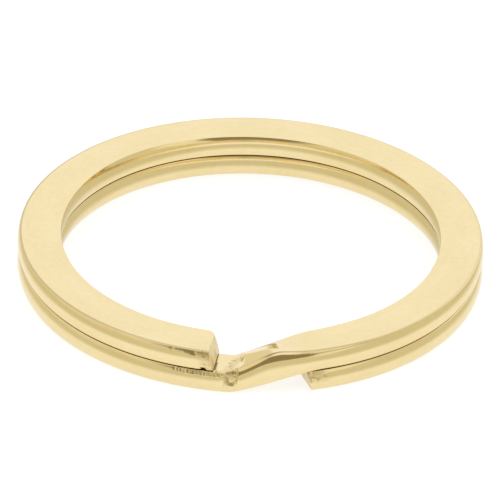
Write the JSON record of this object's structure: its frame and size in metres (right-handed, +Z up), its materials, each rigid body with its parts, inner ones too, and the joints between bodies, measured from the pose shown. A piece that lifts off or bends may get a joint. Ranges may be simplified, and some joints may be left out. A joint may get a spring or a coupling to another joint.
{
  "type": "key ring",
  "caption": "Flat split ring of polished gold-coloured wire: two overlapping turns with an offset step, for threading and holding keys.",
  "frame": {"origin": "centre of the ring, on the plane of the face it rests on", "axes": "+Z up through the ring, -Y towards the front, where the step and the two free ends are, +X to the right"},
  "size_m": [0.03, 0.03, 0.0029],
  "materials": {
    "polished_wire": "polished pale gold"
  },
  "bodies": {
    "root": {"ring_wire": "polished_wire"}
  },
  "joints": []
}
